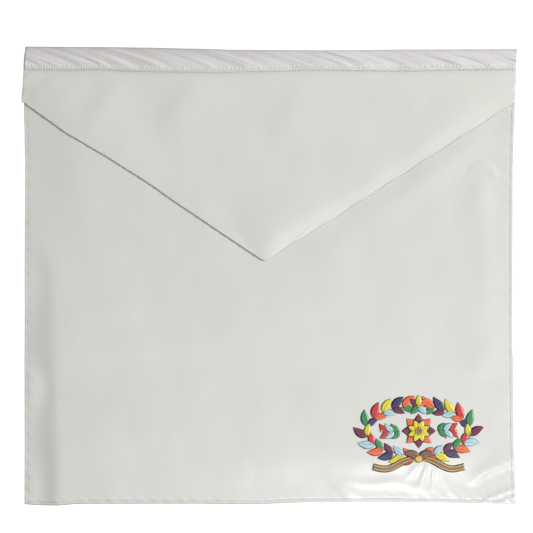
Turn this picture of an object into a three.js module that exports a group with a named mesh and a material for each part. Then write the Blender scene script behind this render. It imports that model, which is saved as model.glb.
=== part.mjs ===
// A ceremonial apron of white cloth, lying on a table with its front up.
// A panel and a pointed flap are caught together at the top in a ribbon waistband, and the
// flap is turned down over the panel. Millimetres, +Z up, +Y towards the waistband.
import * as THREE from "three";

// Driving dimensions
const apronWidth = 406; // the panel, edge to edge
const apronHeight = 377; // top of the waistband down to the bottom hem
const bandHeight = 19; // the ribbon's front, from its fold to its foot
const clothTop = 10; // top of the waistband down to the cloth's upper edge, inside it
const flapSide = 43.4; // top of the waistband down to the flap's side corners
const flapDepth = 178.3; // top of the waistband down to where the flap's edges would meet
const pointOffset = -3; // the flap's point, to the right of the middle
const pointRadius = 2; // rounding of the flap's point
const clothThickness = 1;
const ribbonThickness = 1;
const layerGap = 0.3; // air between two sewn layers
const channelGap = 1.2; // air in the empty fold of the waistband
const panelSettle = 26; // the panel comes down from the waistband to the table over this
const flapSettle = 13; // the flap's folds reach their height over this
const edgeWander = 1.5; // how far a sewn edge strays from straight
const foldRise = 3; // a full fold's height
const restMargin = 0.3; // folds lower than this lie flat on the table
const wrinkleRise = 0.8; // the ribbon's drag lines
const wrinklePitch = 27;
const wrinkleDrift = 54; // the drag lines' pitch changes slowly over this
const wrinkleSlant = 24; // how far a drag line runs sideways from the fold to the foot

// Grid counts
const clothColumns = 44; // even, so that one column ends at the flap's point
const flapRows = 12;
const lowerRows = 13;
const ribbonColumns = 72;
const foldSteps = 4;
const frontSteps = 5;

// How far each edge strays outwards, as shares of edgeWander. across is the share of the
// width from the left, down the share of the height from the top.
const panelSides = [
  { down: 0, left: 0.3, right: 1 },
  { down: 0.12, left: 0.45, right: 1 },
  { down: 0.2, left: 0, right: 0.3 },
  { down: 0.26, left: -0.25, right: -0.1 },
  { down: 0.5, left: 0, right: -0.35 },
  { down: 0.62, left: 0, right: -0.5 },
  { down: 0.7, left: 0.1, right: 0 },
  { down: 0.87, left: 0.05, right: 0.2 },
  { down: 0.93, left: 0.1, right: 0.95 },
  { down: 1, left: 0.1, right: 1.15 },
];
const flapSides = [
  { down: 0, left: -0.55, right: 2 },
  { down: 0.03, left: 0, right: 1.45 },
  { down: 0.055, left: 0.55, right: 1.2 },
  { down: 0.12, left: 1.65, right: 0.9 },
];
const topEdge = [
  { across: 0, out: 1.5 },
  { across: 0.15, out: 1.25 },
  { across: 0.24, out: 1 },
  { across: 0.34, out: 0.4 },
  { across: 0.43, out: -0.25 },
  { across: 0.6, out: -0.5 },
  { across: 0.8, out: -0.1 },
  { across: 1, out: 0.15 },
];
const bottomEdge = [
  { across: 0, out: 0.5 },
  { across: 0.025, out: 1.05 },
  { across: 0.06, out: 1.05 },
  { across: 0.12, out: 0.05 },
  { across: 0.34, out: 0 },
  { across: 0.46, out: 0.35 },
  { across: 0.59, out: -0.6 },
  { across: 0.74, out: -0.85 },
  { across: 0.83, out: -0.5 },
  { across: 0.91, out: 0 },
  { across: 1, out: 0.25 },
];
const flapEdge = [
  { across: 0, out: 0 },
  { across: 0.06, out: 0.6 },
  { across: 0.09, out: 1.1 },
  { across: 0.13, out: 0.2 },
  { across: 0.18, out: -0.9 },
  { across: 0.26, out: -1.6 },
  { across: 0.31, out: -1.1 },
  { across: 0.46, out: -0.9 },
  { across: 0.49, out: -0.85 },
  { across: 0.53, out: -0.9 },
  { across: 0.58, out: -0.5 },
  { across: 0.64, out: 0 },
  { across: 0.8, out: 0.35 },
  { across: 1, out: 0.7 },
];

// The folds, each a smooth ridge along a straight crest. A crest runs from one place to
// another: across and down are shares of the apron's width and height, and reach is the
// share of the way from the waistband's foot to the flap's edge. width is a share of the
// apron's width, and rise a share of foldRise.
const panelFolds = {
  leftRidge: {
    from: { across: 0.066, down: 0.46 },
    to: { across: 0.08, down: 1 },
    width: 0.034,
    rise: 0.85,
  },
  leftRidgeTop: {
    from: { across: 0.09, down: 0.2 },
    to: { across: 0.066, down: 0.46 },
    width: 0.04,
    rise: 0.4,
  },
  rightRidge: {
    from: { across: 0.953, down: 0.29 },
    to: { across: 0.95, down: 0.66 },
    width: 0.028,
    rise: 0.5,
  },
  rightArch: {
    from: { across: 0.945, down: 0.265 },
    to: { across: 0.9, down: 0.27 },
    width: 0.025,
    rise: 0.4,
  },
  ridgeAlongFlap: {
    from: { across: 0.48, down: 0.535 },
    to: { across: 0.9, down: 0.275 },
    width: 0.035,
    rise: 0.5,
  },
  lowSwell: {
    from: { across: 0.66, down: 0.945 },
    to: { across: 0.9, down: 0.925 },
    width: 0.035,
    rise: 0.8,
  },
  lowSwellEnd: {
    from: { across: 0.9, down: 0.925 },
    to: { across: 1, down: 0.9 },
    width: 0.025,
    rise: 0.6,
  },
  liftedCorner: {
    from: { across: 0.965, down: 1 },
    to: { across: 1, down: 0.97 },
    width: 0.04,
    rise: 0.6,
  },
  leftHemWave: {
    from: { across: 0.24, down: 0.985 },
    to: { across: 0.25, down: 1 },
    width: 0.035,
    rise: 0.4,
  },
  middleHemWave: {
    from: { across: 0.47, down: 0.98 },
    to: { across: 0.5, down: 1 },
    width: 0.04,
    rise: 0.45,
  },
};
const flapFolds = {
  rightEdgeRidge: {
    from: { across: 0.51, reach: 0.93 },
    to: { across: 0.95, reach: 0.72 },
    width: 0.022,
    rise: 0.6,
  },
  liftedLeftEdge: {
    from: { across: 0.02, reach: 0.97 },
    to: { across: 0.48, reach: 0.98 },
    width: 0.022,
    rise: 0.4,
  },
  leftShoulder: {
    from: { across: 0.12, reach: 0.25 },
    to: { across: 0.09, reach: 0.7 },
    width: 0.05,
    rise: 0.55,
  },
  slantingFold: {
    from: { across: 0.385, reach: 0.1 },
    to: { across: 0.28, reach: 0.45 },
    width: 0.05,
    rise: 0.45,
  },
  middleFold: {
    from: { across: 0.6, reach: 0.12 },
    to: { across: 0.55, reach: 0.4 },
    width: 0.05,
    rise: 0.3,
  },
};

// Heights and places that follow from the dimensions
const bandStep = ribbonThickness + layerGap; // the panel's underside inside the waistband
const layerStep = clothThickness + layerGap;
const pointAcross = 0.5 + pointOffset / apronWidth;

const { lerp, smoothstep } = THREE.MathUtils;

// A column of a table at a place along it, eased from row to row.
function tableValue(rows, place, column, at) {
  const next = rows.findIndex((row) => row[place] >= at);
  if (next === 0) return rows[0][column];
  if (next < 0) return rows[rows.length - 1][column];
  const [a, b] = [rows[next - 1], rows[next]];
  return lerp(a[column], b[column], smoothstep(at, a[place], b[place]));
}

// Edge lines of the apron, before it is centred: x from its middle, y from its bottom hem.
function topY(across) {
  return apronHeight + edgeWander * tableValue(topEdge, "across", "out", across);
}

function bottomY(across) {
  return -edgeWander * tableValue(bottomEdge, "across", "out", across);
}

function bandFootY(across) {
  return topY(across) - bandHeight;
}

// The flap's lower edge: two slanting lines that meet in a rounded point.
function flapEdgeY(across) {
  const sideShare = across < pointAcross ? pointAcross : 1 - pointAcross;
  const away = Math.abs(across - pointAcross) / sideShare;
  const slant = Math.hypot(away, pointRadius / (apronWidth * sideShare));
  const stray = edgeWander * tableValue(flapEdge, "across", "out", across);
  return apronHeight - lerp(flapDepth, flapSide, slant) - stray;
}

function sideX(sides, across, y) {
  const down = 1 - y / apronHeight;
  const left = -apronWidth / 2 - edgeWander * tableValue(sides, "down", "left", down);
  const right = apronWidth / 2 + edgeWander * tableValue(sides, "down", "right", down);
  return lerp(left, right, across);
}

// A fold of a table, with its crest and sizes in millimetres.
function crestOf(fold) {
  const place = ({ across, down, reach }) => {
    const y =
      down === undefined
        ? lerp(bandFootY(across), flapEdgeY(across), reach)
        : apronHeight * (1 - down);
    return new THREE.Vector3(apronWidth * (across - 0.5), y, 0);
  };
  return {
    line: new THREE.Line3(place(fold.from), place(fold.to)),
    width: apronWidth * fold.width,
    rise: foldRise * fold.rise,
  };
}

function foldHeight(crests, x, y) {
  const here = new THREE.Vector3(x, y, 0);
  const nearest = new THREE.Vector3();
  return crests.reduce((height, { line, width, rise }) => {
    const away = line.closestPointToPoint(here, true, nearest).distanceTo(here) / width;
    return height + rise * Math.exp(-away * away);
  }, 0);
}

const panelCrests = Object.values(panelFolds).map(crestOf);
const flapCrests = Object.values(flapFolds).map(crestOf);

// How far below the waistband's foot a point of the cloth lies.
function belowBand(x, y) {
  return bandFootY(x / apronWidth + 0.5) - y;
}

// The panel's underside: held up by the waistband, flat on the table, and lifted by folds.
function panelUnder(x, y) {
  const settled = smoothstep(belowBand(x, y), 0, panelSettle);
  const lifted = Math.max(0, foldHeight(panelCrests, x, y) - restMargin);
  return lerp(bandStep, lifted, settled);
}

// The flap's underside: on the panel, and lifted clear of it by the flap's own folds.
function flapUnder(x, y) {
  const free = smoothstep(belowBand(x, y), 0, flapSettle);
  return panelUnder(x, y) + layerStep + foldHeight(flapCrests, x, y) * free;
}

// A closed sheet over a grid. at(i, j) gives the two points that face each other across
// its thickness, the outer one first.
function sheet(columns, rows, at) {
  const points = [];
  for (let i = 0; i <= columns; i++)
    for (let j = 0; j <= rows; j++) points.push(...at(i, j));
  const outer = (i, j) => 2 * (i * (rows + 1) + j);
  const inner = (i, j) => outer(i, j) + 1;
  const indices = [];
  const quad = (a, b, c, d) => indices.push(a, b, c, a, c, d);
  for (let i = 0; i < columns; i++) {
    for (let j = 0; j < rows; j++) {
      quad(outer(i, j), outer(i, j + 1), outer(i + 1, j + 1), outer(i + 1, j));
      quad(inner(i, j), inner(i + 1, j), inner(i + 1, j + 1), inner(i, j + 1));
    }
    quad(outer(i, 0), outer(i + 1, 0), inner(i + 1, 0), inner(i, 0));
    quad(outer(i, rows), inner(i, rows), inner(i + 1, rows), outer(i + 1, rows));
  }
  for (let j = 0; j < rows; j++) {
    quad(outer(0, j), inner(0, j), inner(0, j + 1), outer(0, j + 1));
    quad(outer(columns, j), outer(columns, j + 1), inner(columns, j + 1), inner(columns, j));
  }
  const geometry = new THREE.BufferGeometry().setFromPoints(points);
  geometry.setIndex(indices);
  geometry.computeVertexNormals();
  return geometry;
}

// Half of the cloth's columns lie on each side of the flap's point.
function columnAcross(i) {
  const half = clothColumns / 2;
  return i <= half ? (pointAcross * i) / half : lerp(pointAcross, 1, (i - half) / half);
}

// Rows from the cloth's upper edge to the flap's lower edge, closest together at the
// waistband's foot and at the flap's edge.
function flapRowY(across, j) {
  if (j === 0) return topY(across) - clothTop;
  const share = (1 - Math.cos((Math.PI * (j - 1)) / flapRows)) / 2;
  return lerp(bandFootY(across), flapEdgeY(across), share);
}

function clothPoints(x, y, under) {
  const z = under(x, y);
  return [new THREE.Vector3(x, y, z + clothThickness), new THREE.Vector3(x, y, z)];
}

function panelGeometry() {
  const upperRows = flapRows + 1;
  return sheet(clothColumns, upperRows + lowerRows, (i, j) => {
    const across = columnAcross(i);
    const y =
      j <= upperRows
        ? flapRowY(across, j)
        : lerp(flapEdgeY(across), bottomY(across), (j - upperRows) / lowerRows);
    return clothPoints(sideX(panelSides, across, y), y, panelUnder);
  });
}

function flapGeometry() {
  return sheet(clothColumns, flapRows + 1, (i, j) => {
    const across = columnAcross(i);
    const y = flapRowY(across, j);
    return clothPoints(sideX(flapSides, across, y), y, flapUnder);
  });
}

// The ribbon's front layer bulges in slanting drag lines between its fold and its foot.
function wrinkleHeight(across, depth) {
  const share = depth / bandHeight;
  const along = apronWidth * across - wrinkleSlant * share;
  const uneven = Math.sin(along / wrinkleDrift);
  const wave = (1 + Math.cos((2 * Math.PI * along) / wrinklePitch + uneven)) / 2;
  return wrinkleRise * wave * Math.sin(Math.PI * share);
}

// The ribbon's path across the waistband, from its back foot over the fold to its front
// foot. Each step has its depth below the top edge, the height of the ribbon's inner face,
// and the direction of its thickness as a turn from level.
function ribbonPath(across) {
  const radius = channelGap / 2;
  const foldDepth = radius + ribbonThickness;
  const path = [{ depth: bandHeight, height: ribbonThickness, turn: -Math.PI / 2 }];
  for (let s = 0; s <= foldSteps; s++) {
    const turn = lerp(-Math.PI / 2, Math.PI / 2, s / foldSteps);
    path.push({
      depth: foldDepth - radius * Math.cos(turn),
      height: ribbonThickness + radius + radius * Math.sin(turn),
      turn,
    });
  }
  const stackTop = bandStep + 2 * layerStep;
  const rampEnd = clothTop - ribbonThickness;
  for (let s = 1; s <= frontSteps; s++) {
    const depth = lerp(foldDepth, bandHeight, s / frontSteps);
    const ramp = smoothstep(depth, foldDepth, rampEnd);
    const flat = lerp(ribbonThickness + channelGap, stackTop, ramp);
    path.push({ depth, height: flat + wrinkleHeight(across, depth), turn: Math.PI / 2 });
  }
  return path;
}

function waistbandGeometry() {
  const rows = 1 + foldSteps + frontSteps;
  return sheet(ribbonColumns, rows, (i, j) => {
    const across = i / ribbonColumns;
    const { depth, height, turn } = ribbonPath(across)[j];
    const x = sideX(flapSides, across, topY(across) - depth);
    return [ribbonThickness, 0].map((out) => {
      const y = topY(across) - depth + out * Math.cos(turn);
      return new THREE.Vector3(x, y, height + out * Math.sin(turn));
    });
  });
}

const cloth = new THREE.MeshStandardMaterial({ color: 0xdcdcd6, roughness: 0.55, metalness: 0 });
const ribbon = new THREE.MeshStandardMaterial({ color: 0xdedcdd, roughness: 0.4, metalness: 0 });

const pieces = {
  panel: [panelGeometry(), cloth],
  flap: [flapGeometry(), cloth.clone()],
  waistband: [waistbandGeometry(), ribbon],
};

// The apron is centred over the origin, with its underside on the table at height 0.
const apron = new THREE.Group();
for (const [name, [geometry, material]] of Object.entries(pieces)) {
  const mesh = new THREE.Mesh(geometry, material);
  mesh.name = name;
  apron.add(mesh);
}
const box = new THREE.Box3().setFromObject(apron);
const centre = box.getCenter(new THREE.Vector3());
apron.position.set(-centre.x, -centre.y, -box.min.z);

export default apron;
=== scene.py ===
import math

import bpy
import numpy as np
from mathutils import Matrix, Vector


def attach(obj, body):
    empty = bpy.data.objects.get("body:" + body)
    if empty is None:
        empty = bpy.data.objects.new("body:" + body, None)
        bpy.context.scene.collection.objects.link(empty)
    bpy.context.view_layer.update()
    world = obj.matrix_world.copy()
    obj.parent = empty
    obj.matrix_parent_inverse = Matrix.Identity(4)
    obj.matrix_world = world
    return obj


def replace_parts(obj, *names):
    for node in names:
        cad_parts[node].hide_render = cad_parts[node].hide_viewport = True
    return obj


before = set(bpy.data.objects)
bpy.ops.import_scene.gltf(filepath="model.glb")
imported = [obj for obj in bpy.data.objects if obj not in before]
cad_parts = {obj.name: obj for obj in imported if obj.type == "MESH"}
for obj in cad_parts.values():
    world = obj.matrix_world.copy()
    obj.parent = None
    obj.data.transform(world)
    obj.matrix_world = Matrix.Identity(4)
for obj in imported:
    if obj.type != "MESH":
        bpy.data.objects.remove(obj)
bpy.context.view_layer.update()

MM = 0.001

# Driving dimensions, the same as the frame's apart from a thinner ribbon
APRON_WIDTH = 406 * MM
APRON_HEIGHT = 377 * MM
BAND_HEIGHT = 19 * MM
CLOTH_TOP = 10 * MM
FLAP_SIDE = 43.4 * MM
FLAP_DEPTH = 178.3 * MM
POINT_OFFSET = -3 * MM
POINT_RADIUS = 2 * MM
CLOTH_THICKNESS = 1 * MM
RIBBON_THICKNESS = 0.6 * MM
LAYER_GAP = 0.3 * MM
PANEL_SETTLE = 26 * MM
FLAP_SETTLE = 13 * MM
EDGE_WANDER = 1.5 * MM
BAND_STEP = 1.3 * MM
LAYER_STEP = CLOTH_THICKNESS + LAYER_GAP
POINT_ACROSS = 0.5 + POINT_OFFSET / APRON_WIDTH

# How much longer the flap's slanting edges are than they are wide
FLAP_SLANT = math.hypot(1, (FLAP_DEPTH - FLAP_SIDE) / (APRON_WIDTH / 2))

# Seams: how far inside an edge they run, their groove, and the puckers beside it, which fade
# within PUCKER_REACH times the seam's distance and whose pitch drifts
PANEL_SEAM = 2.8 * MM
FLAP_SEAM = 0.7 * MM
SEAM_DEPTH = 0.09 * MM
SEAM_WIDTH = 0.8 * MM
EDGE_RADIUS = 0.4 * MM
PUCKER_PITCH = 11 * MM
PUCKER_RISE = 0.12 * MM
PUCKER_REACH = 3
PUCKER_DRIFT = dict(pitches=3, swing=2)

# Stitches: those of a seam, the dark rods of painted shade in the needle holes between them,
# and the ticks, which are the waistband's upright stitches. Their ends sink into the cloth, and
# their middles stand above it, by so many radii. A tick strays by up to TICK_WANDER, its height by
# a share.
STITCH_PITCH = 3 * MM
STITCH = dict(length=2.3 * MM, radius=0.15 * MM, sink=1.2, stand=1)
PAINTED_HOLE_SHADE = dict(length=0.35 * MM, radius=0.26 * MM, sink=0.9, stand=1)
TICK = dict(radius=0.27 * MM, sink=0.7, stand=0)
TICK_PITCH = 2.2 * MM
TICK_HEIGHT = 4.2 * MM
TICK_FOOT = 0.6 * MM
TICK_TURN = 0.9 * MM
TICK_LEAN = 0.35 * MM
TICK_WANDER = dict(place=0.2 * MM, lean=0.3 * MM, foot=0.1 * MM, height=0.2)
TICK_SEED = 7

# Grid steps
COARSE_STEP = 2.8 * MM
FINE_STEP = 1.25 * MM
FLAP_STEP = 2.3 * MM
RIBBON_STEP = 1.3 * MM
FINE_ACROSS = 0.62
FINE_UP = 0.1
EDGE_STEPS = np.array([0, 0.1, 0.28, 0.5, 0.85, 1.3, 1.8, 2.2, 2.7, 3.3, 4.1, 5.3]) * MM

# How far each edge strays outwards, as shares of EDGE_WANDER. across is the share of the
# width from the left, down the share of the height from the top.
SIDE_COLUMNS = ("down", "left", "right")
EDGE_COLUMNS = ("across", "out")


def table(columns, *rows):
    """A table's columns by name."""
    return dict(zip(columns, np.array(rows, dtype=float).T))


PANEL_SIDES = table(
    SIDE_COLUMNS,
    (0, 0.3, 1),
    (0.12, 0.45, 1),
    (0.2, 0, 0.3),
    (0.26, -0.25, -0.1),
    (0.5, 0, -0.35),
    (0.62, 0, -0.5),
    (0.7, 0.1, 0),
    (0.87, 0.05, 0.2),
    (0.93, 0.1, 0.95),
    (1, 0.1, 1.15),
)
FLAP_SIDES = table(
    SIDE_COLUMNS,
    (0, -0.55, 2),
    (0.03, 0, 1.45),
    (0.055, 0.55, 1.2),
    (0.12, 1.65, 0.9),
)
TOP_EDGE = table(
    EDGE_COLUMNS,
    (0, 1.5),
    (0.15, 1.25),
    (0.24, 1),
    (0.34, 0.4),
    (0.43, -0.25),
    (0.6, -0.5),
    (0.8, -0.1),
    (1, 0.15),
)
BOTTOM_EDGE = table(
    EDGE_COLUMNS,
    (0, 0.5),
    (0.025, 1.05),
    (0.06, 1.05),
    (0.12, 0.05),
    (0.34, 0),
    (0.46, 0.35),
    (0.59, -0.6),
    (0.74, -0.85),
    (0.83, -0.5),
    (0.91, 0),
    (1, 0.25),
)
BAND_FOOT = table(
    EDGE_COLUMNS,
    (0, 0.3),
    (0.08, 0.45),
    (0.146, 0.05),
    (0.24, 0.9),
    (0.36, 0.6),
    (0.48, -0.5),
    (0.6, -1.6),
    (0.7, -0.9),
    (0.78, -0.6),
    (0.88, -1.1),
    (1, -1.3),
)
FLAP_EDGE = table(
    EDGE_COLUMNS,
    (0, 0),
    (0.06, 0.6),
    (0.09, 1.1),
    (0.13, 0.2),
    (0.18, -0.9),
    (0.26, -1.6),
    (0.31, -1.1),
    (0.46, -0.9),
    (0.49, -0.85),
    (0.53, -0.9),
    (0.58, -0.5),
    (0.64, 0),
    (0.8, 0.35),
    (1, 0.7),
)

# The folds: ridges whose crests run smoothly through the places in their rows. left and right
# are a ridge's widths on either side, seen along it. down is in thousandths of the apron's
# height, rise in millimetres, and the others are in thousandths of its width.
THOUSANDTH = 0.001
FOLD_COLUMNS = dict(
    across=THOUSANDTH, down=THOUSANDTH, left=THOUSANDTH, right=THOUSANDTH, rise=MM
)
PANEL_FOLDS = dict(
    left_ridge=[
        (72, 1000, 28, 480, 2.3),
        (77, 906, 33, 480, 2.8),
        (76, 850, 40, 450, 3.0),
        (71, 800, 32, 400, 2.2),
        (68, 755, 21, 320, 1.6),
        (67, 719, 24, 280, 1.7),
        (69, 665, 42, 280, 2.7),
        (67, 610, 40, 180, 2.2),
        (64, 545, 26, 150, 1.2),
        (56, 470, 22, 100, 0.7),
        (36, 400, 20, 60, 0),
    ],
    left_edge_bulge=[
        (16, 680, 20, 16, 0),
        (17, 745, 20, 16, 0.45),
        (16, 810, 20, 16, 0),
    ],
    left_corner_bulge=[
        (14, 915, 20, 16, 0),
        (14, 960, 20, 16, 0.4),
        (14, 1000, 20, 16, 0.3),
    ],
    left_swell=[
        (130, 550, 100, 120, 0),
        (120, 350, 90, 120, 0.9),
        (110, 200, 80, 120, 1.1),
        (100, 60, 80, 120, 0.8),
    ],
    right_ridge=[
        (941, 735, 50, 30, 0),
        (943, 690, 45, 35, 0.6),
        (940, 620, 45, 45, 0.5),
        (943, 500, 40, 28, 0.5),
        (937, 400, 40, 24, 0.4),
        (932, 300, 35, 20, 0.45),
        (935, 255, 35, 20, 0),
    ],
    right_arch=[
        (900, 279, 6, 10, 0),
        (915, 263, 6, 10, 0.3),
        (933, 255, 6, 10, 0.42),
        (950, 260, 6, 10, 0.38),
        (963, 274, 6, 10, 0.25),
        (970, 292, 6, 10, 0),
    ],
    ridge_along_flap=[
        (500, 524, 30, 50, 0),
        (540, 495, 30, 50, 0),
        (580, 465, 30, 50, 0.15),
        (626, 431, 30, 40, 0.35),
        (687, 386, 28, 35, 0.35),
        (769, 322, 29, 30, 0.6),
        (851, 260, 31, 31, 0.95),
        (912, 208, 20, 30, 0.4),
        (953, 179, 20, 30, 0),
    ],
    low_swell=[
        (100, 935, 90, 50, 0),
        (250, 920, 90, 50, 0.15),
        (450, 910, 90, 50, 0.5),
        (600, 900, 90, 50, 1.2),
        (690, 896, 90, 49, 2.0),
        (780, 894, 90, 48, 2.2),
        (870, 894, 90, 46, 1.7),
        (930, 888, 80, 46, 0.8),
        (1020, 875, 80, 50, 0.2),
    ],
    left_pucker=[
        (812, 905, 6, 8, 0),
        (800, 922, 6, 8, 0.45),
        (786, 940, 8, 8, 0.25),
        (776, 950, 8, 8, 0),
    ],
    middle_pucker=[
        (826, 900, 5, 6, 0),
        (820, 925, 5, 6, 0.45),
        (811, 955, 7, 8, 0.35),
        (798, 985, 10, 10, 0),
    ],
    straight_pucker=[
        (834, 905, 5, 5, 0),
        (835, 930, 5, 5, 0.4),
        (834, 960, 6, 6, 0.3),
        (831, 985, 7, 7, 0),
    ],
    right_pucker=[
        (842, 915, 8, 6, 0),
        (852, 945, 10, 8, 0.4),
        (866, 972, 12, 10, 0.35),
        (876, 990, 12, 10, 0),
    ],
    long_low_crease=[
        (640, 945, 12, 7, 0),
        (700, 958, 12, 7, 0.4),
        (760, 955, 12, 8, 0.5),
        (810, 968, 12, 8, 0.25),
        (850, 975, 12, 8, 0),
    ],
    corner_crease=[
        (900, 958, 18, 7, 0),
        (918, 950, 20, 8, 0.5),
        (940, 933, 20, 7, 0.9),
        (960, 922, 20, 8, 0.85),
        (985, 910, 20, 9, 0.7),
        (1012, 900, 20, 9, 0.5),
    ],
    corner_ripple=[
        (930, 1000, 7, 5, 0),
        (950, 990, 7, 5, 0.4),
        (985, 975, 7, 5, 0.5),
        (1010, 966, 7, 5, 0.4),
    ],
    corner_fold=[
        (955, 1006, 6, 5, 0.1),
        (980, 994, 6, 5, 0.4),
        (1010, 984, 6, 5, 0.35),
    ],
    hem_crease=[
        (600, 930, 14, 10, 0),
        (635, 955, 14, 10, 0.35),
        (668, 982, 14, 10, 0.35),
        (680, 1000, 14, 10, 0),
    ],
)
FLAP_FOLDS = dict(
    shoulder=[
        (15, 125, 12, 40, 0),
        (27, 96, 12, 40, 0.25),
        (37, 88, 12, 40, 0.3),
        (60, 72, 13, 40, 0.4),
        (90, 59, 13, 40, 0.25),
        (130, 52, 13, 40, 0),
    ],
    slanting_fold=[
        (270, 200, 22, 50, 0),
        (318, 130, 30, 60, 0.7),
        (356, 75, 28, 60, 0.6),
        (372, 50, 20, 60, 0.2),
    ],
    small_slanting_fold=[
        (115, 190, 20, 35, 0),
        (150, 137, 22, 35, 0.35),
        (182, 94, 22, 35, 0.4),
        (200, 60, 18, 35, 0),
    ],
    middle_fold=[
        (512, 225, 35, 50, 0),
        (537, 160, 34, 50, 0.35),
        (565, 100, 34, 50, 0.4),
        (580, 55, 30, 50, 0),
    ],
    right_edge_ridge=[
        (455, 430, 70, 40, 0),
        (500, 406, 70, 38, 1.1),
        (540, 378, 70, 38, 1.4),
        (580, 355, 70, 38, 1.4),
        (626, 334, 60, 35, 1.1),
        (687, 302, 50, 29, 0.75),
        (769, 246, 50, 27, 0.68),
        (851, 174, 50, 34, 0.85),
        (912, 124, 50, 36, 0.7),
        (953, 80, 40, 40, 0.2),
        (985, 48, 40, 40, 0),
    ],
)

# Looks
CLOTH_LIGHT = (0.622, 0.625, 0.599)
CLOTH_DARK = (0.603, 0.602, 0.572)
FLAP_LIGHT = (0.638, 0.636, 0.605)
FLAP_DARK = (0.614, 0.609, 0.575)
RIBBON_LIGHT = (0.64, 0.63, 0.625)
RIBBON_DARK = (0.58, 0.565, 0.56)
THREAD_COLOUR = (0.62, 0.615, 0.59)
TICK_COLOUR = (0.72, 0.715, 0.71)
# Painted shade: the dark colour of the rods in the needle holes
PAINTED_HOLE_SHADE_COLOUR = (0.24, 0.225, 0.21)
WEAVE_PITCH = 0.55 * MM
CLOTH_LOOK = dict(pitch=WEAVE_PITCH, roughness=0.3, sheen=0.1, bump=0.35)
RIBBON_LOOK = dict(pitch=0.6 * MM, roughness=0.36, sheen=0.2, bump=0.5)

# Painted shade, as shares of the cloth's colour: painted shadow lines along the hem and the
# flap's edges, painted shade on both sides of the waistband's foot and below its top edge.
# The hem and the top get more painted shade at the left.
HEM_PAINTED_SHADE = dict(left=0.6, right=0.15, reach=0.7 * MM)
HEM_PAINTED_SHADE_FADE = dict(start=0.42, length=0.25)
EDGE_PAINTED_SHADE = dict(share=0.3, reach=0.6 * MM)
FOOT_PAINTED_SHADE = dict(share=0.1, reach=2.5 * MM)
TOP_PAINTED_SHADE = dict(left=0.26, right=0.06, reach=2.6 * MM)
TOP_PAINTED_LINE = dict(left=0.4, right=0.1, reach=0.7 * MM)


def ease(t):
    t = np.clip(t, 0, 1)
    return t * t * (3 - 2 * t)


def mix(a, b, t):
    return a + (b - a) * t


def table_value(columns, place, column, at):
    """A column of a table at places along it, eased from row to row."""
    places, values = columns[place], columns[column]
    i = np.clip(np.searchsorted(places, at) - 1, 0, len(places) - 2)
    return mix(values[i], values[i + 1], ease((at - places[i]) / (places[i + 1] - places[i])))


def past(zone, across):
    """How far across a zone a place lies, eased from 0 at its start to 1 at its end."""
    return ease((across - zone["start"]) / zone["length"])


def most(columns, name):
    return EDGE_WANDER * columns[name].max()


# The frame's origin is the middle of its box, so the apron's middle and its bottom hem lie here
MIDDLE_X = (most(FLAP_SIDES, "left") - most(FLAP_SIDES, "right")) / 2
HEM_Y = (most(BOTTOM_EDGE, "out") - most(TOP_EDGE, "out") - APRON_HEIGHT) / 2


def stray(edge, across):
    """How far an edge strays outwards."""
    return EDGE_WANDER * table_value(edge, "across", "out", across)


def top_y(across):
    return HEM_Y + APRON_HEIGHT + stray(TOP_EDGE, across)


def bottom_y(across):
    return HEM_Y - stray(BOTTOM_EDGE, across)


def foot_depth(across):
    return BAND_HEIGHT + stray(BAND_FOOT, across)


def band_foot_y(across):
    return top_y(across) - foot_depth(across)


def flap_edge_y(across):
    side_share = np.where(across < POINT_ACROSS, POINT_ACROSS, 1 - POINT_ACROSS)
    away = np.abs(across - POINT_ACROSS) / side_share
    slant = np.hypot(away, POINT_RADIUS / (APRON_WIDTH * side_share))
    straight = HEM_Y + APRON_HEIGHT - mix(FLAP_DEPTH, FLAP_SIDE, slant)
    return straight - stray(FLAP_EDGE, across)


def side_x(sides, across, y):
    down = 1 - (y - HEM_Y) / APRON_HEIGHT
    left = -APRON_WIDTH / 2 - EDGE_WANDER * table_value(sides, "down", "left", down)
    right = APRON_WIDTH / 2 + EDGE_WANDER * table_value(sides, "down", "right", down)
    return MIDDLE_X + mix(left, right, across)


def across_of(sides, x, y):
    left, right = side_x(sides, 0, y), side_x(sides, 1, y)
    return (x - left) / (right - left)


def spots(across, down):
    """Places in plan, from their shares of the apron's width and height."""
    return np.stack(
        [MIDDLE_X + APRON_WIDTH * (across - 0.5), HEM_Y + APRON_HEIGHT * (1 - down)], -1
    )


def smooth_line(places, values, at):
    """A smooth line through a table's values."""
    slopes = np.gradient(values, places)
    i = np.clip(np.searchsorted(places, at) - 1, 0, len(places) - 2)
    step = places[i + 1] - places[i]
    t = (at - places[i]) / step
    rest = 1 - t
    ends = values[i] * rest**2 * (1 + 2 * t) + values[i + 1] * t**2 * (1 + 2 * rest)
    return ends + step * t * rest * (slopes[i] * rest - slopes[i + 1] * t)


def ridge_height(rows, x, y):
    """A ridge whose crest runs through the places in its rows."""
    units = np.array(list(FOLD_COLUMNS.values()))
    columns = dict(zip(FOLD_COLUMNS, (units * rows).T))
    crest = spots(columns["across"], columns["down"])
    start, reach = crest[0], crest[-1] - crest[0]
    length = np.hypot(*reach)
    along_x, along_y = reach / length
    run = (crest - start) @ [along_x, along_y]
    bend = (crest - start) @ [-along_y, along_x]
    along = np.clip((x - start[0]) * along_x + (y - start[1]) * along_y, 0, length)
    aside = (y - start[1]) * along_x - (x - start[0]) * along_y - smooth_line(run, bend, along)
    left, right, rise = (
        smooth_line(run, columns[name], along) for name in ("left", "right", "rise")
    )
    width = APRON_WIDTH * np.where(aside > 0, left, right)
    return np.maximum(rise, 0) * np.exp(-((aside / width) ** 2))


def fold_height(folds, x, y):
    return sum(ridge_height(rows, x, y) for rows in folds.values())


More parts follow.
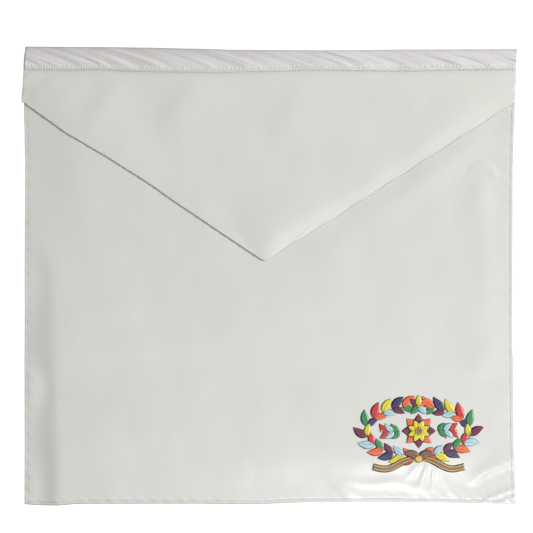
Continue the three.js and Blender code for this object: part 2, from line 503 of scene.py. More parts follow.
# Soft unevenness of the whole cloth: a few long waves, each with its own direction. length is
# in metres, turn and shift in radians, and rise in millimetres.
WAVES = [
    dict(length=0.046, turn=0.3, shift=0.4, rise=0.045),
    dict(length=0.061, turn=1.2, shift=2.1, rise=0.055),
    dict(length=0.083, turn=2.2, shift=4.0, rise=0.07),
    dict(length=0.037, turn=1.8, shift=1.1, rise=0.035),
    dict(length=0.029, turn=2.7, shift=5.2, rise=0.02),
]


def unevenness(x, y):
    height = np.zeros_like(x)
    for wave in WAVES:
        along = x * math.cos(wave["turn"]) + y * math.sin(wave["turn"])
        turn = 2 * math.pi * along / wave["length"] + wave["shift"]
        height += wave["rise"] * MM * (1 + np.sin(turn))
    return height


def below_band(x, y):
    across = np.clip((x - MIDDLE_X) / APRON_WIDTH + 0.5, 0, 1)
    return band_foot_y(across) - y


# The layers are drawn down along the waistband's foot
FOOT_DIP = 0.4 * MM
FOOT_DIP_BELOW = 1.2 * MM
FOOT_DIP_REACH = 3 * MM


def foot_dip(below):
    return FOOT_DIP * np.exp(-(((below - FOOT_DIP_BELOW) / FOOT_DIP_REACH) ** 2))


def panel_base(x, y):
    """The panel's underside, without its rounded edges."""
    below = below_band(x, y)
    lifted = fold_height(PANEL_FOLDS, x, y) + unevenness(x, y)
    return mix(BAND_STEP, lifted, ease(below / PANEL_SETTLE)) - foot_dip(below)


def panel_edge(x, y):
    """How far inside the panel's left, right and bottom edges a point lies."""
    across = np.clip(across_of(PANEL_SIDES, x, y), 0, 1)
    sides = np.minimum(x - side_x(PANEL_SIDES, 0, y), side_x(PANEL_SIDES, 1, y) - x)
    return np.maximum(np.minimum(sides, y - bottom_y(across)), 0)


def seam_relief(inside, seam, along):
    """A groove along a seam, and small puckers between it and the edge."""
    groove = SEAM_DEPTH * np.exp(-(((inside - seam) / SEAM_WIDTH) ** 2))
    near = np.exp(-((inside / (PUCKER_REACH * seam)) ** 2))
    drift = PUCKER_DRIFT["swing"] * np.sin(along / (PUCKER_DRIFT["pitches"] * PUCKER_PITCH))
    wave = np.sin(2 * math.pi * along / PUCKER_PITCH + drift)
    return PUCKER_RISE * near * wave - groove


def turned_edge(inside):
    """The share of its thickness that cloth has near its rounded edge."""
    rest = 1 - np.clip(inside / EDGE_RADIUS, 0, 1)
    return np.sqrt(np.clip(1 - rest**2, 0, 1))


def panel_faces(x, y):
    """The heights of the panel's front and back."""
    inside = panel_edge(x, y)
    relief = seam_relief(inside, PANEL_SEAM, x + y)
    full = CLOTH_THICKNESS * turned_edge(inside)
    middle = panel_base(x, y) + CLOTH_THICKNESS / 2
    return middle + full / 2 + relief, middle - full / 2


def flap_edge_inside(x, y):
    """How far inside the flap's free edges a point lies."""
    across = np.clip(across_of(FLAP_SIDES, x, y), 0, 1)
    edge = (y - flap_edge_y(across)) / FLAP_SLANT
    sides = np.minimum(x - side_x(FLAP_SIDES, 0, y), side_x(FLAP_SIDES, 1, y) - x)
    return np.maximum(np.minimum(sides, edge), 0)


# The flap's edges are pressed down, the right one thinner than the left
PRESSED_THICKNESS = dict(left=0.9 * MM, right=0.7 * MM)
PRESSED_GAP = 0.16 * MM
PRESSED_REACH = 15 * MM
POINT_BLEND = 0.03


def flap_faces(x, y):
    """The heights of the flap's front and back."""
    inside = flap_edge_inside(x, y)
    across = across_of(FLAP_SIDES, x, y)
    edge = y - flap_edge_y(np.clip(across, 0, 1))
    pressed = 1 - ease(edge / PRESSED_REACH)
    right = ease((across - POINT_ACROSS) / POINT_BLEND)
    edge_thickness = mix(PRESSED_THICKNESS["left"], PRESSED_THICKNESS["right"], right)
    thickness = mix(CLOTH_THICKNESS, edge_thickness, pressed)
    gap = mix(LAYER_GAP, PRESSED_GAP, pressed)
    free = ease(below_band(x, y) / FLAP_SETTLE)
    lifted = fold_height(FLAP_FOLDS, x, y) * free
    full = thickness * turned_edge(inside)
    back = panel_base(x, y) + CLOTH_THICKNESS + gap + lifted
    middle = back + thickness / 2
    relief = seam_relief(inside, FLAP_SEAM, x - y)
    return middle + full / 2 + relief, middle - full / 2


def spaced(length, stretches):
    """Places along a length as shares of it: close together near its ends, and elsewhere
    as far apart as each stretch says. A stretch is its end's share and its step."""
    near = EDGE_STEPS / length
    places, start = [near], near[-1]
    for share, step in stretches:
        end = min(share, 1 - near[-1])
        count = max(1, round((end - start) * length / step))
        places.append(np.linspace(start, end, count + 1)[1:])
        start = end
    return np.concatenate([*places[:-1], places[-1][:-1], 1 - near[::-1]])


def slab_faces(rows, columns):
    """The faces of a closed sheet: its front grid of points first, then its back grid."""
    count = rows * columns
    top = np.arange(count).reshape(rows, columns)
    low = top + count
    rim = np.concatenate([top[0, :-1], top[:-1, -1], top[-1, :0:-1], top[:0:-1, 0]])
    after = np.roll(rim, -1)
    faces = [
        np.stack([top[:-1, :-1], top[:-1, 1:], top[1:, 1:], top[1:, :-1]], -1),
        np.stack([low[:-1, :-1], low[1:, :-1], low[1:, 1:], low[:-1, 1:]], -1),
        np.stack([after, rim, rim + count, after + count], -1),
    ]
    return np.concatenate([f.reshape(-1, 4) for f in faces])


def slab(name, front, back, painted_shade):
    """A closed sheet between two grids of points, with the share of colour kept under painted shade
    at each.
    """
    points = np.concatenate([front.reshape(-1, 3), back.reshape(-1, 3)])
    sheet = mesh_object(name, points, slab_faces(*front.shape[:2]).tolist())
    painted_shade_attribute = sheet.data.attributes.new("painted_shade", "FLOAT", "POINT")
    painted_shade_attribute.data.foreach_set("value", np.tile(painted_shade.ravel(), 2))
    return sheet


def mesh_object(name, points, faces):
    mesh = bpy.data.meshes.new(name)
    mesh.from_pydata(points.tolist(), [], faces)
    mesh.validate()
    mesh.shade_smooth()
    made = bpy.data.objects.new(name, mesh)
    bpy.context.collection.objects.link(made)
    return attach(made, "root")


def surface(x, y, z):
    return np.stack([x, y, z], -1)


def painted_shade_near(share, distance, reach):
    """The share of its colour that cloth keeps at a distance from a line of painted shade."""
    return 1 - share * np.exp(-((distance / reach) ** 2))


# Painted shade on both sides of the waistband's foot, on the ribbon and on the flap below it
def foot_painted_shade(distance):
    return painted_shade_near(FOOT_PAINTED_SHADE["share"], distance, FOOT_PAINTED_SHADE["reach"])


# Painted shade below the ribbon's top fold: a soft fade and a darker line at the fold, both
# stronger at the left
def top_painted_shade(across, depth):
    turned = past(FOLD_TURN, across)
    soft = mix(TOP_PAINTED_SHADE["left"], TOP_PAINTED_SHADE["right"], turned) * np.exp(-depth / TOP_PAINTED_SHADE["reach"])
    line = mix(TOP_PAINTED_LINE["left"], TOP_PAINTED_LINE["right"], turned)
    return painted_shade_near(line, depth, TOP_PAINTED_LINE["reach"]) - soft


def make_panel():
    across = spaced(APRON_WIDTH, [(FINE_ACROSS, COARSE_STEP), (1, FINE_STEP)])
    up = spaced(APRON_HEIGHT - CLOTH_TOP, [(FINE_UP, FINE_STEP), (1, COARSE_STEP)])
    u, v = np.meshgrid(across, up)
    y = mix(bottom_y(u), top_y(u) - CLOTH_TOP, v)
    x = side_x(PANEL_SIDES, u, y)
    front, back = panel_faces(x, y)
    # A painted shadow line along the hem, stronger at the left
    share = mix(HEM_PAINTED_SHADE["left"], HEM_PAINTED_SHADE["right"], past(HEM_PAINTED_SHADE_FADE, u))
    painted_shade = painted_shade_near(share, y - bottom_y(u), HEM_PAINTED_SHADE["reach"])
    return slab("panel_cloth", surface(x, y, front), surface(x, y, back), painted_shade)


def make_flap():
    across = spaced(APRON_WIDTH, [(1, FLAP_STEP)])
    near = EDGE_STEPS * FLAP_SLANT
    rows = round((FLAP_DEPTH - CLOTH_TOP) / FLAP_STEP)
    rest = np.linspace(0, 1, rows)[1:]
    u = across[None, :]
    edge, top = flap_edge_y(u), top_y(u) - CLOTH_TOP
    y = np.concatenate([edge + near[:, None], mix(edge + near[-1], top, rest[:, None])])
    u = np.broadcast_to(u, y.shape)
    x = side_x(FLAP_SIDES, u, y)
    front, back = flap_faces(x, y)
    # Painted shadow lines along the flap's free edges, times the painted shade below the
    # waistband's foot
    flap_edge_painted_shade = painted_shade_near(EDGE_PAINTED_SHADE["share"], flap_edge_inside(x, y), EDGE_PAINTED_SHADE["reach"])
    painted_shade = foot_painted_shade(below_band(x, y)) * flap_edge_painted_shade
    return slab("flap_cloth", surface(x, y, front), surface(x, y, back), painted_shade)


# The ribbon's drag lines: waves that run down it slantwise, shallow at its fold and steep at
# its foot. Lengths are in millimetres, shift is in turns, and swell is the length over
# which a wave grows and fades, down to DRAG_LEAST of its rise.
DRAG_LINES = [
    dict(pitch=37, slant=60, rise=1.0, drift=54, swell=97, shift=0.0),
    dict(pitch=21.3, slant=46, rise=0.7, drift=37, swell=71, shift=0.55),
    dict(pitch=11.9, slant=54, rise=0.4, drift=29, swell=43, shift=0.3),
    dict(pitch=6.1, slant=44, rise=0.15, drift=41, swell=59, shift=0.7),
]
DRAG_LEAST = 0.35
DRAG_BEND = 1.5
DRAG_SPREAD = 0.35
DRAG_FADE = 0.35
DRAG_SWING = 0.5
DRAG_SHARPNESS = 1.3
DRAG_GROWTH = dict(start=0.5, length=0.4, rise=1.3)


def wrinkle_height(across, depth):
    share = np.clip(depth / foot_depth(across), 0, 1)
    height = np.zeros_like(share)
    for wave in DRAG_LINES:
        along = APRON_WIDTH * across / MM - wave["slant"] * (1 - (1 - share) ** DRAG_BEND)
        turn = along / wave["pitch"] + wave["shift"] + DRAG_SWING * np.sin(along / wave["drift"])
        swell = np.sin(math.pi * along / wave["swell"] + wave["shift"])
        strength = mix(DRAG_LEAST, 1, swell**2)
        crest = ((1 + np.cos(2 * math.pi * turn)) / 2) ** DRAG_SHARPNESS
        height += wave["rise"] * MM * strength * crest
    height = height * mix(1, DRAG_GROWTH["rise"], past(DRAG_GROWTH, across))
    return height * (4 * share * (1 - share)) ** DRAG_SPREAD * ease((1 - share) / DRAG_FADE)


# The ribbon's path across the waistband, in depth below the top edge and height
LEFT_FOLD_RADIUS = 1.1 * MM
RIGHT_FOLD_RADIUS = 2.1 * MM
FOLD_TURN = dict(start=0.25, length=0.4)
BACK_STEPS = 10
TURN_STEPS = 10
FRONT_STEPS = 28
RIBBON_GAP = 0.1 * MM
FOOT_ROUND = 0.12 * MM
FOOT_ROUND_REACH = 1.5 * MM
TURN_SLACK = 1e-6
STACK_TOP = BAND_STEP + 2 * LAYER_STEP - LAYER_GAP + RIBBON_GAP


def fold_radius(across):
    """The ribbon's fold is pressed flat at the left and full at the right."""
    return mix(LEFT_FOLD_RADIUS, RIGHT_FOLD_RADIUS, past(FOLD_TURN, across))


def foot_rounding(across, depth):
    return FOOT_ROUND * ease(1 - (foot_depth(across) - depth) / FOOT_ROUND_REACH)


def ribbon_front_height(across, depth):
    """The height of the ribbon's front, outside, at a depth below the top edge."""
    radius = fold_radius(across)
    ramp = ease((depth - radius) / (CLOTH_TOP - radius))
    flat = mix(2 * radius, STACK_TOP + RIBBON_THICKNESS, ramp)
    lowered = foot_dip(depth - foot_depth(across)) + foot_rounding(across, depth)
    return flat + wrinkle_height(across, depth) - lowered


def make_waistband():
    u = np.linspace(0, 1, round(APRON_WIDTH / RIBBON_STEP) + 1)[None, :]
    radius, foot = fold_radius(u), foot_depth(u)
    back_share = np.linspace(1, 0, BACK_STEPS, endpoint=False)[:, None]
    front_share = np.linspace(0, 1, FRONT_STEPS + 1)[1:, None]
    turned = np.linspace(-math.pi / 2, math.pi / 2, TURN_STEPS)[:, None]
    depth = np.concatenate([
        mix(radius, BAND_HEIGHT, back_share),
        radius * (1 - np.cos(turned)),
        mix(radius, foot, front_share),
    ])
    turn = np.concatenate([back_share * 0 - math.pi / 2, turned, front_share * 0 + math.pi / 2])
    front = ribbon_front_height(u, depth)
    turned_over = turn >= math.pi / 2 - TURN_SLACK
    outer_z = np.where(turned_over, front, radius * (1 + np.sin(turn)))
    y = top_y(u) - depth
    x = side_x(FLAP_SIDES, u, y)
    thickness = RIBBON_THICKNESS - foot_rounding(u, depth)
    inner_y = y - thickness * np.cos(turn)
    inner_z = outer_z - thickness * np.sin(turn)
    # Painted shade below the top fold and on both sides of the foot
    painted_shade = top_painted_shade(u, depth) * foot_painted_shade(foot - depth)
    return slab("waistband_ribbon", surface(x, y, outer_z), surface(x, inner_y, inner_z), painted_shade)


# Threads: each stitch is a short round rod, thinner at its ends, which dive into the cloth
RING_SIDES = 6
STITCH_RINGS = 5
ARCH_FULLNESS = 0.6
END_THICKNESS = 0.55
PANEL_PATH_POINTS = 200
FLAP_PATH_POINTS = 400


def make_stitches(name, lines, kind):
    """One mesh of many stitches, each a rod along its own line of points on the cloth."""
    t = np.linspace(0, 1, STITCH_RINGS)
    arch = np.sin(math.pi * t) ** ARCH_FULLNESS
    radius = kind["radius"]
    along = lines[:, -1] - lines[:, 0]
    direction = along / np.linalg.norm(along, axis=1, keepdims=True)
    side = np.stack([-direction[:, 1], direction[:, 0], np.zeros(len(lines))], -1)
    up = np.array([0, 0, 1.0])
    turns = 2 * math.pi * np.arange(RING_SIDES) / RING_SIDES
    centre = lines + up * (radius * mix(-kind["sink"], kind["stand"], arch))[None, :, None]
    thick = radius * mix(END_THICKNESS, 1, arch)
    ring = (
        side[:, None, None] * np.cos(turns)[None, None, :, None]
        + up * np.sin(turns)[None, None, :, None]
    )
    points = centre[:, :, None] + ring * thick[None, :, None, None]
    count = len(lines)
    index = np.arange(count * STITCH_RINGS * RING_SIDES)
    index = index.reshape(count, STITCH_RINGS, RING_SIDES)
    after = np.roll(index, -1, axis=2)
    wall = np.stack([index[:, :-1], after[:, :-1], after[:, 1:], index[:, 1:]], -1)
    caps = [index[:, 0, ::-1], index[:, -1, :]]
    faces = wall.reshape(-1, 4).tolist() + [c for cap in caps for c in cap.tolist()]
    return mesh_object(name, points.reshape(-1, 3), faces)


def stitch_lines(path, first, length):
    """The stitches' lines along a path, in plan."""
    steps = np.linalg.norm(np.diff(path, axis=0), axis=1)
    run = np.concatenate([[0], np.cumsum(steps)])
    places = np.arange(first, run[-1] - length, STITCH_PITCH)[:, None]
    places = places + length * np.linspace(0, 1, STITCH_RINGS)
    return np.stack([np.interp(places, run, path[:, k]) for k in range(2)], -1)


def on_cloth(plan, faces):
    x, y = plan[..., 0], plan[..., 1]
    return surface(x, y, faces(x, y)[0])


def panel_seam_path():
    """The line of the panel's seam, from the upper left round to the upper right."""
    share = np.linspace(0, 1, PANEL_PATH_POINTS)
    low = HEM_Y + PANEL_SEAM
    high = HEM_Y + APRON_HEIGHT - FLAP_SIDE
    y = mix(high, low, share)
    left = np.stack([side_x(PANEL_SIDES, 0, y) + PANEL_SEAM, y], -1)
    right = np.stack([side_x(PANEL_SIDES, 1, y) - PANEL_SEAM, y], -1)[::-1]
    x = mix(left[-1, 0], right[0, 0], share)
    hem = bottom_y(across_of(PANEL_SIDES, x, low)) + PANEL_SEAM
    bottom = np.stack([x, hem], -1)
    return left[:-1], bottom, right[1:]


def flap_seam_path():
    """The line of the flap's seam along its two slanting edges."""
    inset = FLAP_SEAM / APRON_WIDTH
    across = np.linspace(inset, 1 - inset, FLAP_PATH_POINTS)
    y = flap_edge_y(across) + FLAP_SEAM * FLAP_SLANT
    return np.stack([side_x(FLAP_SIDES, across, y), y], -1)


def row_of_stitches(name, paths, faces, kind, first):
    """Stitches of a kind along each path, with its first one so far from its start."""
    lines = [stitch_lines(path, first, kind["length"]) for path in paths]
    return make_stitches(name, on_cloth(np.concatenate(lines), faces), kind)


def make_seam(name, paths, faces):
    return give(row_of_stitches(name, paths, faces, STITCH, 0), thread)


def make_painted_hole_shades(name, paths, faces):
    """Dark rods between a seam's stitches: painted shade standing in for the needle holes' shadow.
    """
    first = (STITCH["length"] + STITCH_PITCH - PAINTED_HOLE_SHADE["length"]) / 2
    return give(row_of_stitches(name, paths, faces, PAINTED_HOLE_SHADE, first), painted_hole_shade)


def make_waistband_stitches():
    """The close upright stitches on the waistband's foot, and where they turn under it."""
    places = np.arange(TICK_PITCH, APRON_WIDTH - TICK_PITCH, TICK_PITCH)
    draws = np.random.default_rng(TICK_SEED).uniform(-1, 1, (len(TICK_WANDER), len(places)))
    wander = {name: TICK_WANDER[name] * draw for name, draw in zip(TICK_WANDER, draws)}
    across = (places + wander["place"]) / APRON_WIDTH
    lean = (TICK_LEAN + wander["lean"]) / APRON_WIDTH
    low = foot_depth(across) - TICK_FOOT - wander["foot"]
    high = low - TICK_HEIGHT * (1 + wander["height"])

    t = np.linspace(0, 1, STITCH_RINGS)
    share = across[:, None] + lean[:, None] * t
    depth = mix(low[:, None], high[:, None], t)
    y = top_y(share) - depth
    upright = surface(side_x(FLAP_SIDES, share, y), y, ribbon_front_height(share, depth))
    turned_y = band_foot_y(across) - TICK_TURN
    turned_x = side_x(FLAP_SIDES, across, turned_y)
    turned = surface(turned_x, turned_y, flap_faces(turned_x, turned_y)[0])
    under = mix(turned[:, None], upright[:, :1], t[:, None])
    return make_stitches("waistband_stitches", np.concatenate([upright, under]), TICK)


# The print: motifs of thin ink films on the panel's front, each level above the last. A leaf
# takes three levels, for its outline, its ink and its vein, and a dot takes two. The crown's
# leaves are listed by their turn in degrees, and its top one lies over the others.
FILM_BASE = 0.08 * MM
FILM_STEP = 0.03 * MM
FILM_THICKNESS = 0.02 * MM
FILM_ROWS = 5
STRIP_STEP = 1.2 * MM
LEAST_LEAF_STEPS = 4
LEAST_DOT_STEPS = 8
LEAST_WIDTH = 0.02 * MM
OUTLINE = 0.35 * MM
VEIN_WIDTH = 0.32 * MM
VEIN_REACH = 0.8
VEIN_TAPER = 1.15
LEAF_BELLY = 0.8
LEAF_FULLNESS = 0.85
LEVEL_STEP = 2
LEVELS = dict(
    stem=0, leaf=1, crown_leaf=5, petal=6, berry=6, tail=6, eye=8, crown_berry=10, loop=11, knot=14
)

EMBLEM_MIDDLE = np.array([123.6, -128.5]) * MM
WREATH_WIDTH = 43.5 * MM
WREATH_HEIGHT = 20.5 * MM
WREATH_STATIONS = 12
WREATH_STEPS = 80
WREATH_LEAN = math.radians(34)
OUTER_LEAF = dict(length=13.5 * MM, width=6.4 * MM, bend=0.08)
INNER_LEAF = dict(length=10.5 * MM, width=5.2 * MM, bend=0.08)
CROWN_LEAF = dict(length=9 * MM, width=5 * MM, bend=0)
STEM_WIDTH = 0.8 * MM
PETALS = 8
OUTER_PETAL = dict(length=14 * MM, width=8.2 * MM, bend=0)
MIDDLE_PETAL = dict(length=10.5 * MM, width=6.2 * MM, bend=0)
INNER_PETAL = dict(length=9.3 * MM, width=5.2 * MM, bend=0)
ROSETTE_EYE = 3.1 * MM
ROSETTE_BEAD = 0.6 * MM
BEAD_RING = 0.68 * ROSETTE_EYE
SPRIG_START = 15 * MM
SPRIG_LENGTH = 16 * MM
SPRIG_FIRST = 0.08
SPRIG_PITCH = 0.3
SPRIG_LEAF = dict(length=9 * MM, width=4.4 * MM, bend=0.1)
SPRIG_LEAN = math.radians(42)
BERRY = 0.9 * MM
KNOT_BELOW = 23 * MM
KNOT = 2.8 * MM
BOW_LOOP = dict(length=13 * MM, width=6.4 * MM, bend=0.12)
TAIL_REACH = np.array([38, -8]) * MM
TAIL_WIDTH = 5.2 * MM
TAIL_WAVE = 2.2 * MM
LOOP_TURN = math.radians(68)
TAIL_POINTS = 34
TAIL_DROP = 0.7
TAIL_HALF_WAVES = 2.2
TAIL_START = 0.45
TAIL_WIDENING = 2.5
TAIL_LINES = (-0.62, 0.62)
LEAF_INKS = ["red", "yellow", "indigo", "orange", "sky", "plum", "green"]
INNER_LEAF_SHIFT = 3
PETAL_INKS = ["plum", "orange"]
SPRIG_INKS = ["green", "sky", "red"]
CROWN_TOP = 90
CROWN_INKS = {-45: "sky", 225: "green", 40: "orange", 140: "plum", CROWN_TOP: "yellow"}

INKS = dict(
    outline=(0.022, 0.012, 0.022),
    red=(0.55, 0.030, 0.026),
    orange=(0.77, 0.138, 0.045),
    yellow=(0.70, 0.60, 0.030),
    green=(0.036, 0.25, 0.078),
    sky=(0.40, 0.60, 0.68),
    indigo=(0.036, 0.028, 0.115),
    plum=(0.15, 0.017, 0.055),
    brown=(0.19, 0.092, 0.056),
    gold=(0.67, 0.46, 0.06),
)


def heading(angle):
    return np.array([math.cos(angle), math.sin(angle)])


def strip(line, half_width):
    """A grid of points along a line in plan, as wide as half_width says on either side."""
    forward = np.gradient(line, axis=0)
    forward /= np.linalg.norm(forward, axis=1, keepdims=True)
    side = np.stack([-forward[:, 1], forward[:, 0]], -1)
    across = np.linspace(1, -1, FILM_ROWS)
    return line[:, None] + side[:, None] * (half_width[:, None] * across)[..., None]


def leaf_line(root, angle, length, bend):
    t = np.linspace(0, 1, max(LEAST_LEAF_STEPS, round(length / STRIP_STEP)) + 1)
    ahead, side = heading(angle), heading(angle + math.pi / 2)
    line = root + length * (t[:, None] * ahead + bend * np.sin(math.pi * t)[:, None] * side)
    return t, line


def leaf(root, angle, length, width, bend):
    t, line = leaf_line(root, angle, length, bend)
    half_width = width / 2 * np.sin(math.pi * t**LEAF_BELLY) ** LEAF_FULLNESS
    return strip(line, np.maximum(half_width, LEAST_WIDTH))


def vein(root, angle, length, bend):
    t, line = leaf_line(root, angle, length, bend)
    return strip(line, VEIN_WIDTH / 2 * (VEIN_TAPER - t))


def dot(middle, radius):
    t = np.linspace(0, 1, max(LEAST_DOT_STEPS, round(2 * radius / STRIP_STEP)) + 1)
    run = (1 - np.cos(math.pi * t)) / 2
    line = middle + np.stack([radius * (2 * run - 1), np.zeros_like(run)], -1)
    return strip(line, np.maximum(radius * np.sin(math.pi * t), LEAST_WIDTH))


def outlined_leaf(films, ink, level, root, angle, length, width, bend):
    """A leaf of an ink over a slightly larger dark one, with a vein."""
    grown = root - OUTLINE * heading(angle)
    outline = leaf(grown, angle, length + 2 * OUTLINE, width + 2 * OUTLINE, bend)
    films.append(("outline", level, outline))
    films.append((ink, level + 1, leaf(root, angle, length, width, bend)))
    films.append(("outline", level + 2, vein(root, angle, VEIN_REACH * length, bend)))


def outlined_dot(films, ink, level, middle, radius):
    films.append(("outline", level, dot(middle, radius + OUTLINE)))
    films.append((ink, level + 1, dot(middle, radius)))


def wreath(films):
    """Two branches of paired leaves that rise from the foot and meet below a small crown."""
    turns = math.pi * (np.linspace(0, 1, WREATH_STEPS) - 0.5)
    oval = np.stack([WREATH_WIDTH * np.cos(turns), WREATH_HEIGHT * np.sin(turns)], -1)
    run = np.concatenate([[0], np.cumsum(np.linalg.norm(np.diff(oval, axis=0), axis=1))])
    spacing = run[-1] / WREATH_STATIONS
    for side in (-1, 1):
        stem = strip(EMBLEM_MIDDLE + oval * [side, 1], np.full(len(oval), STEM_WIDTH / 2))
        films.append(("brown", LEVELS["stem"], stem))
        for station in range(WREATH_STATIONS - 1):
            turn = np.interp((station + 0.5) * spacing, run, turns)
            place = [side * WREATH_WIDTH * math.cos(turn), WREATH_HEIGHT * math.sin(turn)]
            ahead = math.atan2(
                WREATH_HEIGHT * math.cos(turn), -side * WREATH_WIDTH * math.sin(turn)
            )
            root = EMBLEM_MIDDLE + place
            level = LEVELS["leaf"] + LEVEL_STEP * (station % 2)
            outer_ink = LEAF_INKS[station % len(LEAF_INKS)]
            inner_ink = LEAF_INKS[(station + INNER_LEAF_SHIFT) % len(LEAF_INKS)]
            lean = side * WREATH_LEAN
            outlined_leaf(films, outer_ink, level, root, ahead - lean, **OUTER_LEAF)
            outlined_leaf(films, inner_ink, level, root, ahead + lean, **INNER_LEAF)
    crown = EMBLEM_MIDDLE + [0, WREATH_HEIGHT]
    for turn, ink in CROWN_INKS.items():
        level = LEVELS["crown_leaf"] + LEVEL_STEP * (turn == CROWN_TOP)
        outlined_leaf(films, ink, level, crown, math.radians(turn), **CROWN_LEAF)
    outlined_dot(films, "gold", LEVELS["crown_berry"], crown, BERRY)


def rosette(films):
    """Eight petals, eight smaller ones over them, and an eye ringed with beads."""
    for petal in range(PETALS):
        turn = 2 * math.pi * petal / PETALS
        ink = PETAL_INKS[petal % 2]
        level = LEVELS["leaf"] + LEVEL_STEP * (petal % 2)
        outlined_leaf(films, ink, level, EMBLEM_MIDDLE, turn, **OUTER_PETAL)
        between = turn + math.pi / PETALS
        level = LEVELS["petal"]
        films.append(("outline", level, leaf(EMBLEM_MIDDLE, between, **MIDDLE_PETAL)))
        films.append(("yellow", level + 1, leaf(EMBLEM_MIDDLE, between, **INNER_PETAL)))
        bead = EMBLEM_MIDDLE + BEAD_RING * heading(between)
        films.append(("gold", LEVELS["eye"] + 1, dot(bead, ROSETTE_BEAD)))
    films.append(("indigo", LEVELS["eye"], dot(EMBLEM_MIDDLE, ROSETTE_EYE)))
    films.append(("gold", LEVELS["eye"] + 1, dot(EMBLEM_MIDDLE, ROSETTE_BEAD)))


def sprigs(films):
    """A small twig with leaves and berries on either side of the rosette."""
    for side in (-1, 1):
        ahead = 0 if side > 0 else math.pi
        root = EMBLEM_MIDDLE + SPRIG_START * heading(ahead)
        films.append(("brown", LEVELS["stem"], vein(root, ahead, SPRIG_LENGTH, 0)))
        for pair, ink in enumerate(SPRIG_INKS):
            share = SPRIG_FIRST + SPRIG_PITCH * pair
            place = root + SPRIG_LENGTH * share * heading(ahead)
            level = LEVELS["leaf"] + LEVEL_STEP * (pair % 2)
            for lean in (-SPRIG_LEAN, SPRIG_LEAN):
                outlined_leaf(films, ink, level, place, ahead + lean, **SPRIG_LEAF)
        tip = root + SPRIG_LENGTH * heading(ahead)
        outlined_dot(films, "gold", LEVELS["berry"], tip, BERRY)


def bow(films):
    """Two loops, two waving tails and a knot below the wreath."""
    knot = EMBLEM_MIDDLE - [0, KNOT_BELOW]
    t = np.linspace(0, 1, TAIL_POINTS)
    half_width = TAIL_WIDTH / 2 * mix(TAIL_START, 1, ease(TAIL_WIDENING * t))
    for side in (-1, 1):
        loop_turn = math.pi / 2 - side * LOOP_TURN
        loop = dict(BOW_LOOP, bend=side * BOW_LOOP["bend"])
        outlined_leaf(films, "brown", LEVELS["loop"], knot, loop_turn, **loop)
        run = np.stack([side * TAIL_REACH[0] * t, TAIL_REACH[1] * t**TAIL_DROP], -1)
        run[:, 1] += TAIL_WAVE * np.sin(TAIL_HALF_WAVES * math.pi * t)
        tail = strip(knot + run, half_width)
        films.append(("outline", LEVELS["tail"], strip(knot + run, half_width + OUTLINE)))
        films.append(("brown", LEVELS["tail"] + 1, tail))
        for share in TAIL_LINES:
            middle = mix(tail[:, 0], tail[:, -1], (1 + share) / 2)
            line = strip(middle, np.full(TAIL_POINTS, VEIN_WIDTH))
            films.append(("gold", LEVELS["tail"] + 2, line))
    outlined_dot(films, "gold", LEVELS["knot"], knot, KNOT)


def film(name, grids):
    """One closed mesh of many thin patches that follow the panel's front."""
    points, faces, count = [], [], 0
    for level, grid in grids:
        x, y = grid[..., 0], grid[..., 1]
        low = panel_faces(x, y)[0] + FILM_BASE + level * FILM_STEP
        points += [surface(x, y, z).reshape(-1, 3) for z in (low + FILM_THICKNESS, low)]
        faces.append(slab_faces(*x.shape) + count)
        count += 2 * x.size
    return mesh_object(name, np.concatenate(points), np.concatenate(faces).tolist())


def make_print():
    films = []
    for motif in (wreath, rosette, sprigs, bow):
        motif(films)
    pieces = []
    for ink, colour in INKS.items():
        grids = [(level, grid) for name, level, grid in films if name == ink]
        pieces.append(give(film("print_" + ink, grids), ink_material(ink, colour)))
    return pieces


# Materials: the detail of each noise and the size of its grains along X, Y and Z, then how
# the weave lies and how each surface shines. Blender's bands repeat every BAND_PERIOD metres
# at a scale of 1.
TONE = dict(detail=3.0, grain=(0.045, 0.06, 0.05))
STREAKS = dict(detail=2.0, grain=(0.0016, 0.05, 0.05))
CREASES = dict(detail=4.0, grain=(0.012, 0.014, 0.02))
INK_MOTTLE = dict(detail=3.0, grain=(0.004, 0.004, 0.004))
THREAD_MOTTLE = dict(detail=2.0, grain=(0.003, 0.003, 0.003))
RAMP_START = 0.3
RAMP_STOP = 0.7
WEAVE_WANDER = {"Distortion": 1.2, "Detail": 1.0, "Detail Scale": 2.0}
BAND_PERIOD = math.pi / 10
WEAVE_RELIEF = 0.05 * MM
CREASE_RELIEF = 0.25 * MM
CREASE_BUMP = 0.5
STREAK_SHARE = 0.25
ROUGHNESS_SPREAD = 0.02
CLOTH_SHINE = {"Sheen Roughness": 0.4, "Specular IOR Level": 0.8}
INK_SHINE = {"Roughness": 0.36, "Specular IOR Level": 0.5}
INK_WEAVE_SHARE = 0.4
INK_DARKER = 0.82
INK_BUMP = 0.3
INK_FADE = dict(grey=0.6, share=0.06)
THREAD_SHINE = {"Roughness": 0.4, "Sheen Weight": 0.2}
THREAD_DARKER = 0.9


def set_inputs(node, values):
    for name, value in values.items():
        node.inputs[name].default_value = value


def add_node(tree, kind, inputs=None, **settings):
    made = tree.nodes.new(kind)
    for name, value in settings.items():
        setattr(made, name, value)
    set_inputs(made, inputs or {})
    return made


def new_material(name):
    """A material with its tree, its shader and the object's own coordinates."""
    material = bpy.data.materials.new(name)
    material.use_nodes = True
    tree = material.node_tree
    coordinates = add_node(tree, "ShaderNodeTexCoord").outputs["Object"]
    return material, tree, tree.nodes["Principled BSDF"], coordinates


